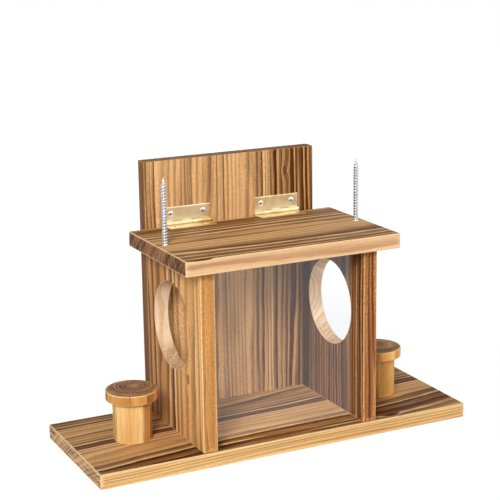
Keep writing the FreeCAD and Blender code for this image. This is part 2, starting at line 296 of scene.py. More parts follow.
def new_group(name, inputs, outputs):
    """An empty node group with named sockets: its tree, its inputs and its outputs."""
    tree = bpy.data.node_groups.new(name, "ShaderNodeTree")
    for direction, sockets in (("INPUT", inputs), ("OUTPUT", outputs)):
        for socket, kind in sockets.items():
            tree.interface.new_socket(socket, in_out=direction, socket_type="NodeSocket" + kind)
    return tree, add_node(tree, "NodeGroupInput").outputs, add_node(tree, "NodeGroupOutput").inputs


WOOD_INPUTS = {
    **dict.fromkeys(("Position", "Normal", "Middle", "Half", "Saw Marks"), "Vector"),
    **dict.fromkeys(("Pith Across", "Pith Depth", "Skew", "Ring", "Wander", "Seed", "Belt Width",
                     "Belt Place", "Knot Along", "Knot Across", "Knot Size", "Uneven", "Round",
                     "Speckle", "Wear"), "Float"),
    **dict.fromkeys(("Light", "Dark", "Line", "Bright", "Edge Light", "Edge Dark", "End Light",
                     "End Dark"), "Color"),
}
wood_tree, given, result = new_group("scorched_wood", WOOD_INPUTS,
                                     {"Color": "Color", "Roughness": "Float", "Height": "Float"})


def build_scorched_wood(tree, given, result):
    """A ring starts at a thin bright line, turns from early to late wood and ends at a dark line.
    The tone also changes from ring to ring, in broad belts of rings and in long streaks. Long edges
    are lighter, most of all at their borders, sawn ends are darker and pitted, and all three are
    told apart by the surface's own direction. Fibres, flecks, ticks and scorched clouds lie over
    them. The corners are worn pale: a corner is near where two of the distances to the piece's six
    sides are small."""
    place = given["Position"]
    values = {name: Signal(given[name]) for name, kind in WOOD_INPUTS.items() if kind == "Float"}
    (run, over, deep), facing, middle, half = (
        [Signal(part) for part in add_node(tree, "ShaderNodeSeparateXYZ", {0: vector}).outputs]
        for vector in (place, given["Normal"], given["Middle"], given["Half"]))
    aside, below = over - middle[1], deep - middle[2]
    reach = (aside * aside + below * below * values["Round"]).sqrt()
    to_end, to_edge, to_face = half[0] - (run - middle[0]).size(), half[1] - reach, half[2] - below.size()
    nearer, farther = to_end.math("MINIMUM", to_edge), to_end.math("MAXIMUM", to_edge)
    to_corner = nearer.math("MAXIMUM", farther.math("MINIMUM", to_face))
    wavering = noise(tree, place, (0.02, 0.1, 0.1), 2.0) - 0.5
    rings = ring_count(run, over, deep, values) + wavering * 0.5
    seeded = rings + values["Seed"] * 10.0
    ring = seeded.math("FLOOR")
    phase = seeded.math("FRACT")

    def chance(offset):
        return Signal(add_node(tree, "ShaderNodeTexWhiteNoise", {"W": ring + offset},
                               noise_dimensions="1D").outputs["Value"])

    def along_rings(per_ring, per_run, per_cross, detail):
        follow = add_node(tree, "ShaderNodeCombineXYZ", {0: seeded, 1: run, 2: over + deep}).outputs[0]
        return noise(tree, follow, (per_ring, per_run, per_cross), detail, 0.6) - 0.5

    streak = along_rings(1.3, 0.006, 0.02, 3.0)
    dash = along_rings(4.0, 0.05, 0.1, 3.0)
    fibre = noise(tree, place, (0.014, 1.7, 1.7), 4.0, 0.65) - 0.5
    tick = noise(tree, place, (0.11, 2.3, 2.3), 2.0).rise(0.6, 0.72)
    cloud = noise(tree, place, (0.007, 0.035, 0.035)).rise(0.5, 0.75)
    patch = noise(tree, place, (0.012, 0.02, 0.02), 2.0).rise(0.38, 0.6)
    fleck = (noise(tree, place, (0.35, 0.8, 0.8)) - 0.5) * values["Speckle"] * (patch * 0.6 + 0.4)
    pits = noise(tree, place, (1.1, 1.1, 1.1), 3.0, 0.6)
    marks = noise(tree, place, given["Saw Marks"]) - 0.5
    belt_turn = (rings * values["Ring"] - values["Belt Place"]) / values["Belt Width"]
    belt = ((belt_turn + 0.25) * (2 * math.pi)).sin().rise(-0.7, 0.7)
    tone = (belt * 0.64 + (chance(0.5) - 0.5) * values["Uneven"] + streak * 1.4 + 0.22).rise(0.1, 0.9)
    late = phase.rise(0.35, 0.85) * phase.rise(1.0, 0.95)
    line = late * (tone * 0.55 + 0.45) * (chance(7.5) * 0.5 + 0.65)
    shining = (streak * 2.0 + chance(4.7)).rise(0.2, 0.7) * (tone * 0.55 + 0.45)
    glint = (phase - chance(3.1) * 0.22).rise(0.32, 0.1) * shining
    knot_along = (run - values["Knot Along"]) / values["Knot Size"]
    knot_across = (over - values["Knot Across"]) / values["Knot Size"]
    from_knot = knot_along * knot_along * 0.3 + knot_across * knot_across
    knot = from_knot.rise(0.6, 0.35) * (1.0 - from_knot.rise(0.25, 0.05) * 0.5)

    face = blend(tree, tone, given["Light"], given["Dark"])
    face = blend(tree, glint * 0.85, face, given["Bright"])
    face = blend(tree, line, face, given["Line"])
    face = blend(tree, cloud * 0.35, face, given["Line"])
    face = blend(tree, knot * 0.8, face, given["Line"])
    edge_tone = tone * 0.4 + late * 0.6 + streak * 0.9 + 0.1 - to_corner.rise(5.0, 2.0) * 0.45
    edge = blend(tree, edge_tone, given["Edge Light"], given["Edge Dark"])
    ringed = late * 0.35 + dash * 1.2 + marks * 3.0 + pits.rise(0.42, 0.62) * 0.25 + tone * 0.3 + 0.15
    end = blend(tree, ringed, given["End Light"], given["End Dark"])
    on_end, on_edge = (part.size().rise(0.55, 0.85) for part in facing[:2])
    colour = blend(tree, on_edge * (1.0 - values["Round"]), face, edge)
    colour = blend(tree, on_end, colour, end)
    worn = (to_corner + pits * 2.0 + streak).rise(2.6, 1.4) * values["Wear"]
    colour = blend(tree, worn, colour, given["Bright"])
    connect(tree, scaled(tree, colour, fibre * 0.8 + fleck + 1.0 - tick * 0.25), result["Color"])
    connect(tree, fibre * -0.3 + 0.62 - late * 0.1 + cloud * 0.08, result["Roughness"])
    connect(tree, fibre * 0.6 - tick * 0.3 + fleck * 0.4 + pits * on_end * 0.6, result["Height"])


build_scorched_wood(wood_tree, given, result)


def tone(red, green, blue):
    """A colour in the 0 to 255 of a paint chart, as the linear values that shaders work in."""
    chart = np.array((red, green, blue)) / 255
    linear = np.where(chart <= 0.04045, chart / 12.92, ((chart + 0.055) / 1.055) ** 2.4)
    return (*linear.tolist(), 1.0)


def new_material(name):
    material = bpy.data.materials.new(name)
    material.use_nodes = True
    shader = material.node_tree.nodes["Principled BSDF"]
    return material, material.node_tree, shader


def wood_finish(name, node, order, wood, colours, round_piece=False, coat=0.0, bump=0.00012):
    """Scorched wood on a piece. The order says which axes run along, across and through it. A round
    piece has no long edges, so it needs no edge colours."""
    material, tree, shader = new_material(name)
    coordinates = add_node(tree, "ShaderNodeTexCoord").outputs
    low, high = (corner[list(order)] for corner in piece_box(node))
    half = (high - low) / 2
    if round_piece:
        half[2] = UNBOUNDED
    inputs = {"Middle": ((low + high) / 2).tolist(), "Half": half.tolist(), "Round": float(round_piece)}
    for socket, source, size in (("Position", "Object", 1 / MM), ("Normal", "Normal", 1.0)):
        parts = add_node(tree, "ShaderNodeSeparateXYZ", {0: coordinates[source]}).outputs
        in_order = {place: parts[axis] for place, axis in enumerate(order)}
        inputs[socket] = scaled(tree, add_node(tree, "ShaderNodeCombineXYZ", in_order).outputs[0], size)
    group = add_node(tree, "ShaderNodeGroup", {**inputs, **wood, **colours}, node_tree=wood_tree).outputs
    connect(tree, group["Color"], shader.inputs["Base Color"])
    connect(tree, group["Roughness"], shader.inputs["Roughness"])
    relief = add_node(tree, "ShaderNodeBump", {"Height": group["Height"], "Distance": bump, "Strength": 1.0})
    connect(tree, relief.outputs[0], shader.inputs["Normal"])
    shader.inputs["Specular IOR Level"].default_value = 0.1
    shader.inputs["Coat Weight"].default_value = coat
    shader.inputs["Coat Roughness"].default_value = 0.25
    return material


def wood(pith, ring, wander, seed, belt, knot=NO_KNOT, uneven=0.8, skew=0.0):
    """How one board was sawn from its tree, in millimetres in the box's frame: where the pith ran, a
    ring's mean width, how far the rings wander, a number that makes the board its own, the width of a
    light and a dark belt together and how far from the pith a dark one lies, a knot's place and size,
    how much the rings differ in tone, and how far the pith drifts aside for each millimetre along."""
    return {"Pith Across": pith[0], "Pith Depth": pith[1], "Skew": skew, "Ring": ring, "Wander": wander,
            "Seed": seed, "Belt Width": belt[0], "Belt Place": belt[1], "Knot Along": knot[0],
            "Knot Across": knot[1], "Knot Size": knot[2], "Uneven": uneven}


def brushed_away(points, order, sawn):
    """How much soft early wood is brushed off at each point: none on the rings' crests."""
    rings = ring_count(*(points[:, axis] for axis in order), sawn) + sawn["Seed"] * 10.0
    crest = 0.5 + 0.5 * np.cos(2 * math.pi * (rings - CREST))
    return BRUSHED_DEPTH * (1 - crest)


def sawn_board(name, node, order, sawn, material, cutters):
    """A board with eased edges and a brushed skin, and with shapes cut out of it."""
    low, high = piece_box(node)
    steps = [0.0] * 3
    for axis, step in zip(order, STEPS_IN_WOOD):
        steps[axis] = step
    points, arm, faces = block_skin(low, high, steps)
    board = new_piece(name, points - arm * brushed_away(points, order, sawn)[:, None], faces, material)
    cut_away(board, cutters)
    shade(board)
    return board


CUT_COLOURS = {
    "Light": tone(255, 234, 206), "Dark": tone(242, 210, 174), "Line": tone(218, 178, 138),
    "Bright": tone(252, 228, 198), "Edge Light": tone(250, 222, 190), "Edge Dark": tone(220, 182, 142),
    "End Light": tone(232, 198, 162), "End Dark": tone(186, 146, 108), "Saw Marks": (0.3, 0.5, 0.5),
    "Speckle": 0.25, "Wear": 0.0,
}
BASE_COLOURS = {
    "Light": tone(212, 162, 104), "Dark": tone(124, 74, 34), "Line": tone(66, 28, 6),
    "Bright": tone(250, 214, 160), "Edge Light": tone(230, 190, 130), "Edge Dark": tone(176, 120, 60),
    "End Light": tone(232, 190, 140), "End Dark": tone(120, 76, 38), "Saw Marks": (0.3, 0.04, 0.6),
    "Speckle": 0.5, "Wear": 0.8,
}
LENGTHWISE = (0, 1, 2)
base_wood = wood(pith=(-229.0, -360.0), ring=4.1, wander=1.2, seed=0.7, belt=(32.0, 415.3),
                 knot=(116.0, -67.0, 3.6), skew=0.055)
base_finish = wood_finish("scorched_base", "base_board", LENGTHWISE, base_wood, BASE_COLOURS)
cut_base = wood_finish("cut_base_wood", "base_board", LENGTHWISE, base_wood, CUT_COLOURS)

SCREW_FACING = {
    "up": np.eye(3),
    "down": np.diag((1.0, -1.0, -1.0)),
    "back": np.array(((1.0, 0, 0), (0, 0, 1), (0, -1, 0))),
    "front": np.array(((1.0, 0, 0), (0, 0, -1), (0, 1, 0))),
}
WOOD_HEAD, WOOD_SHANK = 4.0, 2.0
HINGE_HEAD, HINGE_SHANK = 3.2, 1.3
SPIKE_HEAD, SPIKE_SHANK = 5.5, 3.2
SEAT_ROOM, ROUND_COLUMNS = 0.08, 32


def screw_places(node, facing, head):
    """Where the heads of a node's screws lie, from the node's box: one screw, or one at each end
    of its longest side across the screws."""
    low, high = piece_box(node)
    lengthwise, sign = {"up": (2, 1), "down": (2, -1), "back": (1, 1), "front": (1, -1)}[facing]
    middle = (low + high) / 2
    middle[lengthwise] = high[lengthwise] if sign > 0 else low[lengthwise]
    spread = high - low
    spread[lengthwise] = 0
    widest = int(np.argmax(spread))
    if spread[widest] < 3 * head:
        return [middle]
    places = np.array((middle, middle))
    places[:, widest] = low[widest] + head, high[widest] - head
    return places


def screw_seats(nodes, facing, head, shank, depth, material):
    """Closed cutters, a little wider than the screws, that reach through a board."""
    radii = np.array((head, head, shank, shank)) + SEAT_ROOM
    points, faces = turned(radii, (1.0, 0.0, shank - head, -depth), ROUND_COLUMNS)
    points = points @ SCREW_FACING[facing].T
    return [new_piece("screw_seat", points + place, faces, material)
            for node in nodes for place in screw_places(node, facing, head)]


GROOVE_ROOM = 0.25
SCREW_THROUGH = 16.0
window_low, window_high = piece_box("front_window")
base_top = piece_box("base_board")[1][2]
groove = block("foot_groove", (window_low[0] - GROOVE_ROOM, window_low[1] - GROOVE_ROOM, window_low[2]),
               (window_high[0] + GROOVE_ROOM, window_high[1] + GROOVE_ROOM, base_top + CUT_PAST),
               base_finish)
base_screws = ("panel_screws_left", "panel_screws_right", "seat_screw_left", "seat_screw_right")
base_cutters = [groove] + screw_seats(base_screws, "down", WOOD_HEAD, WOOD_SHANK, SCREW_THROUGH, cut_base)
base_board = sawn_board("base_plank", "base_board", LENGTHWISE, base_wood, base_finish, base_cutters)
finish_piece(base_board, "box", "base_wood", "base_board")


# Side panels. Two upright boards of the same scorched fir, screwed down through the base. Each has
# a round way in, cut after scorching so that its wall is pale, and a groove for the window.
HOLE_EASING = 0.6
PANEL_UPRIGHT = (2, 1, 0)
PANEL_COLOURS = {
    "Light": tone(234, 178, 112), "Dark": tone(200, 142, 82), "Line": tone(76, 38, 14),
    "Bright": tone(250, 214, 158), "Edge Light": tone(208, 148, 84), "Edge Dark": tone(120, 62, 20),
    "End Light": tone(190, 146, 100), "End Dark": tone(104, 70, 42), "Saw Marks": (0.3, 0.5, 0.5),
    "Speckle": 1.5, "Wear": 0.7,
}
# The right panel's face colours are much darker than the left's: partly darker wood, mostly painted shade for
# its inner face, which is seen inside the box. Its edge colours stay close to the left's.
RIGHT_PANEL_SHADED_COLOURS = {
    **PANEL_COLOURS, "Light": tone(122, 82, 48), "Dark": tone(74, 42, 24), "Line": tone(48, 20, 8),
    "Bright": tone(206, 150, 94), "Edge Light": tone(196, 136, 84), "Edge Dark": tone(104, 50, 24),
    "Speckle": 2.4, "Wear": 1.0,
}
HOLE_RADIUS, HOLE_Y, HOLE_Z = 43.5, -2.0, 124.0


def hole_cutter(low, high, material):
    """A drum along X through a panel: a circle that widens in a quarter round at both faces."""
    turn = np.linspace(0, math.pi / 2, 5)
    flare = HOLE_EASING * (1 - np.cos(turn))
    out = np.concatenate(((high + CUT_PAST,), high - HOLE_EASING + HOLE_EASING * np.sin(turn[::-1]),
                          low + HOLE_EASING - HOLE_EASING * np.sin(turn), (low - CUT_PAST,)))
    radii = HOLE_RADIUS + np.concatenate(((HOLE_EASING,), flare[::-1], flare, (HOLE_EASING,)))
    points, faces = turned(radii, out, 160)
    points = points[:, (2, 0, 1)] + (0, HOLE_Y, HOLE_Z)
    return new_piece("hole_cutter", points, faces, material)


for side, sawn, colours in (
    ("left", wood(pith=(400.0, -566.0), ring=8.6, wander=0.9, seed=2.1, belt=(124.0, 595.0),
                  knot=(79.0, -38.0, 4.0), uneven=0.6), PANEL_COLOURS),
    ("right", wood(pith=(-130.0, 170.0), ring=4.0, wander=1.0, seed=3.7, belt=(50.0, 96.0), uneven=0.5),
     RIGHT_PANEL_SHADED_COLOURS),
):
    node = "side_panel_" + side
    low, high = piece_box(node)
    panel_finish = wood_finish("scorched_panel_" + side, node, PANEL_UPRIGHT, sawn, colours)
    cut_panel = wood_finish("cut_panel_wood_" + side, node, PANEL_UPRIGHT, sawn, CUT_COLOURS)
    if side == "left":
        groove_x = window_low[0] - GROOVE_ROOM, high[0] + CUT_PAST
    else:
        groove_x = low[0] - CUT_PAST, window_high[0] + GROOVE_ROOM
    groove = block("side_groove", (groove_x[0], window_low[1] - GROOVE_ROOM, low[2] - CUT_PAST),
                   (groove_x[1], window_high[1] + GROOVE_ROOM, high[2] + CUT_PAST), panel_finish)
    panel = sawn_board(side + "_side", node, PANEL_UPRIGHT, sawn, panel_finish,
                       [hole_cutter(low[0], high[0], cut_panel), groove])
    finish_piece(panel, "box", "panel_wood", node)


# Back board. A taller upright board, screwed to the rear edges of the side panels. The hinges'
# upright leaves are screwed to its front. It has one small knot.
BACK_UPRIGHT = (2, 0, 1)
BACK_COLOURS = {
    "Light": tone(234, 184, 128), "Dark": tone(96, 52, 16), "Line": tone(78, 38, 8),
    "Bright": tone(220, 166, 102), "Edge Light": tone(140, 94, 56), "Edge Dark": tone(78, 46, 26),
    "End Light": tone(156, 110, 70), "End Dark": tone(86, 54, 30), "Saw Marks": (0.3, 0.05, 0.9),
    "Speckle": 1.4, "Wear": 0.2,
}
back_wood = wood(pith=(-230.0, 150.0), ring=4.9, wander=0.8, seed=5.9, belt=(290.0, 360.0),
                 knot=(252.0, 62.0, 3.2), uneven=0.45)
back_finish = wood_finish("scorched_back", "back_board", BACK_UPRIGHT, back_wood, BACK_COLOURS)
cut_back = wood_finish("cut_back_wood", "back_board", BACK_UPRIGHT, back_wood, CUT_COLOURS)
back_cutters = screw_seats(("back_screws_left", "back_screws_right"), "back", WOOD_HEAD, WOOD_SHANK,
                           SCREW_THROUGH, cut_back)
back_board = sawn_board("back_plank", "back_board", BACK_UPRIGHT, back_wood, back_finish, back_cutters)
finish_piece(back_board, "box", "back_wood", "back_board")


# Window. A sheet of clear acrylic with polished edges. It slides down the panels' grooves.
PANE_EASING = 0.25
PANE_STEPS = (6.0, 2.0, 6.0)
pane_material, tree, shader = new_material("clear_acrylic")
scuffs = noise(tree, object_place(tree), (180.0, 180.0, 40.0), 4.0)
connect(tree, scuffs.rise(0.45, 0.75) * 0.05 + 0.02, shader.inputs["Roughness"])
shader.inputs["Base Color"].default_value = (0.93, 0.945, 0.95, 1)
shader.inputs["Transmission Weight"].default_value = 1.0
shader.inputs["IOR"].default_value = 1.49
clear = add_node(tree, "ShaderNodeBsdfTransparent", {"Color": (0.9, 0.92, 0.92, 1)}).outputs[0]
shadow_ray = add_node(tree, "ShaderNodeLightPath").outputs["Is Shadow Ray"]
show_mixed(tree, shadow_ray, shader.outputs[0], clear)
pane_points, _, pane_faces = block_skin(window_low, window_high, PANE_STEPS, PANE_EASING)
pane = new_piece("window_pane", pane_points, pane_faces, pane_material)
shade(pane)
finish_piece(pane, "box", "clear_sheet", "front_window")


# Stools. At each end of the base a round post carries a wider round top. Both are turned from
# light pine and clear-coated, and the top's end grain is scorched dark.
STOOL_UPRIGHT = (2, 0, 1)
STOOL_COLOURS = {
    "Light": tone(255, 214, 144), "Dark": tone(222, 158, 84), "Line": tone(164, 100, 40),
    "Bright": tone(255, 224, 164), "End Light": tone(214, 158, 100), "End Dark": tone(66, 32, 10),
    "Saw Marks": (0.1, 0.01, 0.01), "Speckle": 0.2, "Wear": 0.6,
}
STOOL_TOP_COLOURS = {
    **STOOL_COLOURS, "Light": tone(238, 178, 100), "Dark": tone(212, 148, 76), "Line": tone(150, 92, 42),
}
AMBER = {"Light": tone(255, 210, 122), "Dark": tone(254, 184, 96), "Line": tone(204, 128, 60)}
STOOL_PARTS = {
    "post": {"radius": 19.2, "easing": 0.6, "flat_rings": 6, "kept": 0.0, "ring": 5.0,
             "colours": STOOL_COLOURS},
    "cap": {"radius": 25.5, "easing": 1.2, "flat_rings": 40, "kept": 0.8, "ring": 3.6,
            "colours": STOOL_TOP_COLOURS},
}
FLATS, STOOL_COLUMNS = 13, 144
CRACK_DEPTH, OUTSIDE = 2.5, 1.0


def rounded_profile(radius, low, high, easing, flat_rings, side_rows=10):
    """Radius against height of a turned disc from the middle of its top to the middle of its
    bottom: a flat, a quarter round, a straight side, a quarter round and a flat."""
    turn = np.linspace(0, math.pi / 2, 5)
    flat = np.linspace(0.5, radius - easing, flat_rings, endpoint=False)
    side = np.linspace(high - easing, low + easing, side_rows + 2)[1:-1]
    radii = np.concatenate((flat, radius - easing + easing * np.sin(turn), np.full(side_rows, radius),
                            radius - easing + easing * np.cos(turn), flat[::-1]))
    heights = np.concatenate((np.full(flat_rings, high), high - easing + easing * np.cos(turn), side,
                              low + easing - easing * np.sin(turn), np.full(flat_rings, low)))
    return radii, heights


def shaved_by_hand(kept, seed):
    """A ripple that shaves a round piece into flats of unlike width. The radius is the lesser of the
    whole radius and the flat's distance from the axis over the cosine of the angle from its middle.
    What is kept is the share of a full flat's depth that isn't shaved off."""
    def ripple(height, angle):
        uneven = angle + 0.1 * np.sin(2 * angle + seed) + 0.05 * np.sin(5 * angle - seed) + 0 * height
        beside = (uneven * FLATS / (2 * math.pi) + seed) % 1.0 - 0.5
        flat = math.cos(math.pi / FLATS) * (1 - kept) + kept
        return np.minimum(1, flat / np.cos(beside * 2 * math.pi / FLATS))
    return ripple


def grained(name, stretch, first, second, roughness, metallic=0.0):
    """A material of two colours, mixed by a noise that makes the second one rougher too."""
    material, tree, shader = new_material(name)
    grain = noise(tree, object_place(tree), stretch)
    connect(tree, blend(tree, grain, first, second), shader.inputs["Base Color"])
    connect(tree, grain * 0.2 + roughness, shader.inputs["Roughness"])
    shader.inputs["Metallic"].default_value = metallic
    return material


# Drying cracks and splits get near-black walls: painted shade deep in the narrow gaps.
split_shade = grained("painted_split_shade", (200.0, 2000.0, 2000.0), tone(36, 20, 10), tone(84, 52, 30), 0.7)


def drying_crack(centre, angle, radius, low, high, width):
    """An upright wedge in a round side. It is widest outside and at the top and closes inside."""
    out = np.array((math.cos(angle), math.sin(angle)))
    aside = np.array((-out[1], out[0])) * width
    foot, head = low - OUTSIDE, high + OUTSIDE
    points = [(*(centre[:2] + out * (radius + OUTSIDE) + aside * share), height)
              for height, share in ((foot, -0.4), (foot, 0.4), (head, -1.0), (head, 1.0))]
    points += [(*(centre[:2] + out * (radius - CRACK_DEPTH)), height) for height in (foot, head)]
    faces = [(0, 1, 3, 2), (1, 4, 5, 3), (4, 0, 2, 5), (0, 4, 1), (2, 3, 5)]
    return new_piece("drying_crack", points, faces, split_shade)


for side, seed, own_colours, crack_angle, crack_width in (
    ("left", 1.3, {}, math.radians(-115), 0.45),
    ("right", 3.3, AMBER, math.radians(-135), 0.25),
):
    for part, made in STOOL_PARTS.items():
        node = f"seat_{part}_{side}"
        low, high = piece_box(node)
        centre = (low + high) / 2
        sawn = wood(pith=(centre[0] + 4.0, centre[1] + 6.0), ring=made["ring"], wander=0.5, seed=seed,
                    belt=(14.0, 7.0), uneven=0.6)
        finish = wood_finish(f"stool_{part}_{side}", node, STOOL_UPRIGHT, sawn,
                             {**made["colours"], **own_colours}, round_piece=True, coat=0.08, bump=0.0001)
        radii, heights = rounded_profile(made["radius"], low[2], high[2], made["easing"], made["flat_rings"])
        points, faces = turned(radii, heights, STOOL_COLUMNS, shaved_by_hand(made["kept"], seed))
        points[:, :2] += centre[:2]
        cracks = []
        if part == "cap":
            upper_face = points[:, 2] > high[2] - 0.01
            points[:, 2] -= upper_face * brushed_away(points, STOOL_UPRIGHT, sawn)
            cracks = [drying_crack(centre, crack_angle, made["radius"], low[2], high[2], crack_width)]
        stool = new_piece(f"{side}_stool_{part}", points, faces, finish)
        cut_away(stool, cracks)
        shade(stool)
        finish_piece(stool, "box", "stool_wood", node)


# Roof board, which is the lid. One board with its grain from side to side. Its front left corner
# has a short split, and its sawn ends are scorched nearly black.
ROOF_COLOURS = {
    "Light": tone(226, 174, 116), "Dark": tone(138, 90, 46), "Line": tone(104, 62, 28),
    "Bright": tone(244, 204, 150), "Edge Light": tone(228, 186, 140), "Edge Dark": tone(188, 140, 98),
    "End Light": tone(178, 122, 82), "End Dark": tone(36, 12, 4), "Saw Marks": (0.3, 0.8, 0.06),
    "Speckle": 0.35, "Wear": 0.8,
}
roof_wood = wood(pith=(317.0, 500.0), ring=8.0, wander=1.2, seed=6.1, belt=(82.0, 487.0), uneven=0.4)
roof_finish = wood_finish("scorched_roof", "roof_board", LENGTHWISE, roof_wood, ROOF_COLOURS)
cut_roof = wood_finish("cut_roof_wood", "roof_board", LENGTHWISE, roof_wood, CUT_COLOURS)
roof_low, roof_high = piece_box("roof_board")


def split_cutter(length, width, depth):
    """A sliver along the front edge's upper corner. Its section is a four-sided wedge that starts
    outside the corner, and its width and depth grow from a third at the board's end to the whole at
    three quarters of its length, by a sine, and then run out."""
    run = np.linspace(0, 1, 24)
    swell = (0.35 + 0.65 * np.sin(np.minimum(run / 0.75, 1) * math.pi / 2)) * np.sqrt(1 - run ** 6 * 0.98)
    x = roof_low[0] - OUTSIDE + run * length
    front, top = roof_low[1] - OUTSIDE + 0 * run, roof_high[2] + OUTSIDE + 0 * run
    back, foot = roof_low[1] + width * swell, roof_high[2] - depth * swell
    rails = [(x, front, top), (x, back, top), (x, back, roof_high[2] - depth * swell * 0.4), (x, front, foot)]
    points = np.array(rails).transpose(2, 0, 1).reshape(-1, 3)
    number, _, quads = sleeve(len(run), len(rails))
    ends = [number[0].tolist(), number[-1][::-1].tolist()]
    return new_piece("split_cutter", points, quads + ends, split_shade)


roof_cutters = screw_seats(("feed_spike_left", "feed_spike_right"), "down", SPIKE_HEAD, SPIKE_SHANK,
                           SCREW_THROUGH, cut_roof)
# The split's walls take the near-black painted shade.
roof_cutters.append(split_cutter(length=29.0, width=1.8, depth=1.4))
roof_board = sawn_board("lid_plank", "roof_board", LENGTHWISE, roof_wood, roof_finish, roof_cutters)
finish_piece(roof_board, "lid", "roof_wood", "roof_board")


# Hinges. Two brass butt hinges, each pressed from plate: the leaves curl round the pin in turn, two
# knuckles on the lid's leaf and three on the back board's, and each leaf has two screw holes.
PIN_RADIUS, LEAF_PLATE, LEAF_DROP, LEAF_REACH = 1.1, 1.2, 2.6, 16.5
HINGE_LENGTH, KNUCKLES, KNUCKLE_GAP = 51.0, 5, 0.25
SCREW_REACH, SCREW_SPACING = 9.5, 35.0
FLAT_END, TIP_EASING, TIP_START = 3.2, 0.35, 0.15
END_EASING, END_DRAWN_IN = 0.3, 0.12
ROUND_KNUCKLE = 4.0
brass, tree, shader = new_material("pressed_brass")
coordinates = object_place(tree)
rolled = noise(tree, coordinates, (60.0, 900.0, 900.0))
tarnish = noise(tree, coordinates, (40.0, 40.0, 40.0), 2.0).rise(0.42, 0.66)
plate_colour = blend(tree, tarnish * 0.8, tone(250, 236, 196), tone(212, 170, 98))
connect(tree, blend(tree, rolled * 0.1, plate_colour, tone(254, 246, 222)), shader.inputs["Base Color"])
connect(tree, rolled * 0.06 + 0.33 + tarnish * 0.06, shader.inputs["Roughness"])
relief = add_node(tree, "ShaderNodeBump", {"Height": rolled, "Distance": 0.00001, "Strength": 0.5})
connect(tree, relief.outputs[0], shader.inputs["Normal"])
shader.inputs["Metallic"].default_value = 1.0


def curled_plate():
    """The section of a leaf, carried along the pin. A middle line runs from the free edge to the
    pin, dips under it and follows a circle round it for most of a turn. The plate's two faces are
    that line moved half a plate to either side along its normal, drawn in at both tips."""
    flat = np.linspace(LEAF_REACH, FLAT_END, 22)
    lying = np.full_like(flat, LEAF_PLATE / 2 - LEAF_DROP)
    sweep = np.linspace(-0.5, -2 * math.pi + 0.75, 40) - math.pi / 2 + 0.25
    curl = (PIN_RADIUS + LEAF_PLATE / 2) * np.array((np.cos(sweep), np.sin(sweep)))
    line = np.concatenate((np.array((flat, lying)), curl), axis=1).T
    step = np.gradient(line, axis=0)
    step /= np.linalg.norm(step, axis=1, keepdims=True)
    normal = np.stack((-step[:, 1], step[:, 0]), axis=1)
    travelled = np.concatenate(((0,), np.cumsum(np.linalg.norm(np.diff(line, axis=0), axis=1))))
    from_tip = np.minimum(travelled, travelled[-1] - travelled)
    rounding = 1 - np.clip(from_tip / TIP_EASING + TIP_START, 0, 1)
    half = LEAF_PLATE / 2 * np.sqrt(1 - rounding ** 2)
    return line + normal * half[:, None], line - normal * half[:, None]


def leaf_mesh():
    """Both faces of the section at stations along the pin, drawn in a little at the two ends."""
    outer, inner = curled_plate()
    reach = HINGE_LENGTH / 2
    ends = np.array((0, 0.12, END_EASING))
    stations = np.concatenate((-reach + ends, np.linspace(-24, 24, 33), (reach - ends)[::-1]))
    shrink = np.interp(reach - np.abs(stations), (0, END_EASING), (END_DRAWN_IN, 0))
    middle = (outer + inner) / 2
    loop = np.concatenate((outer, inner[::-1]))
    centre = np.concatenate((middle, middle[::-1]))
    pull = (centre - loop) / (np.linalg.norm(centre - loop, axis=1, keepdims=True) + 1e-9)
    sections = loop[None] + pull[None] * shrink[:, None, None]
    around = loop.shape[0]
    along = np.broadcast_to(stations[:, None, None], (len(stations), around, 1))
    points = np.concatenate((along, sections), axis=2).reshape(-1, 3)
    number, _, quads = sleeve(len(stations), around)
    strip = np.arange(len(outer) - 1)
    cap = np.stack((strip, strip + 1, around - 2 - strip, around - 1 - strip), axis=1)
    return points, np.concatenate((quads, cap, (number[-1, 0] + cap)[:, ::-1]))


def place_leaf(points, kind, pin):
    """Turn a leaf's own axes (along the pin, out to the free edge, up from the wood) to the box's."""
    along, out, lift = np.asarray(points).T
    if kind == "board":
        return np.stack((pin[0] + along, pin[1] - lift, pin[2] + out), axis=1)
    return np.stack((pin[0] - along, pin[1] - out, pin[2] + lift), axis=1)


pitch = HINGE_LENGTH / KNUCKLES
knuckle_reach = PIN_RADIUS + LEAF_PLATE + KNUCKLE_GAP
leaf_seat, seat_faces = turned((HINGE_HEAD + 0.05, HINGE_HEAD + 0.05, HINGE_SHANK + 0.1, HINGE_SHANK + 0.1),
                               (1.0, 0.0, HINGE_SHANK - HINGE_HEAD, -3.0), ROUND_COLUMNS)
for side in ("left", "right"):
    pin_low, pin_high = piece_box(f"hinge_{side}_pin")
    pin = (pin_low + pin_high) / 2
    for kind, gaps, body in (("board", (1, 3), "box"), ("roof", (0, 2, 4), "lid")):
        cutters = []
        for number in gaps:
            start, stop = number * pitch - HINGE_LENGTH / 2, (number + 1) * pitch - HINGE_LENGTH / 2
            start -= CUT_PAST if number == 0 else KNUCKLE_GAP / 2
            stop += CUT_PAST if number == KNUCKLES - 1 else KNUCKLE_GAP / 2
            corners = place_leaf(((start, -ROUND_KNUCKLE, -ROUND_KNUCKLE),
                                  (stop, knuckle_reach, ROUND_KNUCKLE)), kind, pin)
            cutters.append(block("knuckle_gap", corners.min(axis=0), corners.max(axis=0), brass))
        for end in (-1, 1):
            moved = leaf_seat + (end * SCREW_SPACING / 2, SCREW_REACH, LEAF_PLATE - LEAF_DROP)
            cutters.append(new_piece("leaf_hole", place_leaf(moved, kind, pin), seat_faces, brass))
        points, faces = leaf_mesh()
        leaf = new_piece(f"{side}_hinge_{kind}_leaf", place_leaf(points, kind, pin), faces, brass)
        cut_away(leaf, cutters)
        shade(leaf, 32)
        finish_piece(leaf, body, "hinge_brass", f"hinge_{side}_{kind}_leaf")


